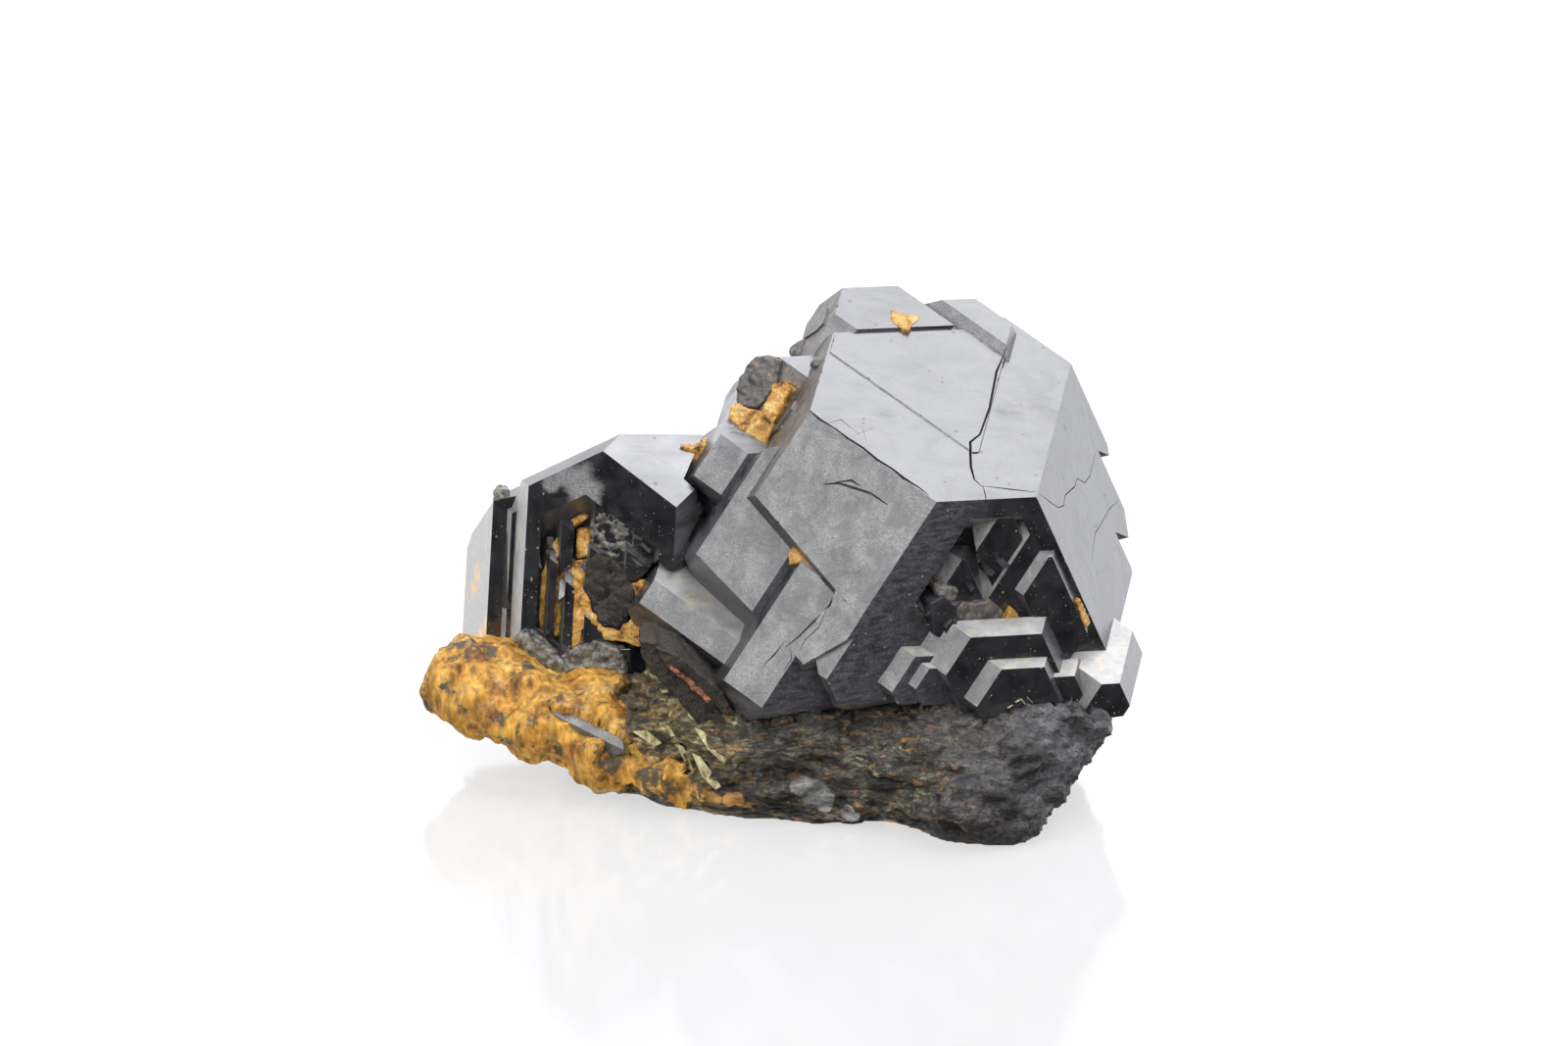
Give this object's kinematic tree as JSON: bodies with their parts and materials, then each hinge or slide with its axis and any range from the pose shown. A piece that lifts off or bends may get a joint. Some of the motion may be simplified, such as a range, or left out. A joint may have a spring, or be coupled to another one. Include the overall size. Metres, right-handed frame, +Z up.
{
  "type": "uraninite specimen",
  "caption": "Black blocky uraninite crystals grown together on dark layered rock, with an orange crust and fillings.",
  "frame": {"origin": "centre of the specimen's footprint box, on the surface it rests on", "axes": "+X along the specimen's long side to the right, -Y towards its front, +Z up"},
  "size_m": [0.0444, 0.0332, 0.0286],
  "materials": {
    "black_crystal": "submetallic, bright on the top faces and sooty on the side faces",
    "dark_rock": "layered, dull to glossy",
    "orange_crust": "fibrous, waxy",
    "grey_bar": "satin",
    "orange_filling": "earthy"
  },
  "bodies": {
    "root": {"large_crystals": "black_crystal", "left_crystal": "black_crystal", "matrix": "dark_rock", "orange_crust": "orange_crust", "bar_crystal": "grey_bar", "top_filling": "orange_filling", "upper_filling": "orange_filling", "notch_filling": "orange_filling", "front_filling": "orange_filling", "hollow_filling": "orange_filling"}
  },
  "joints": []
}
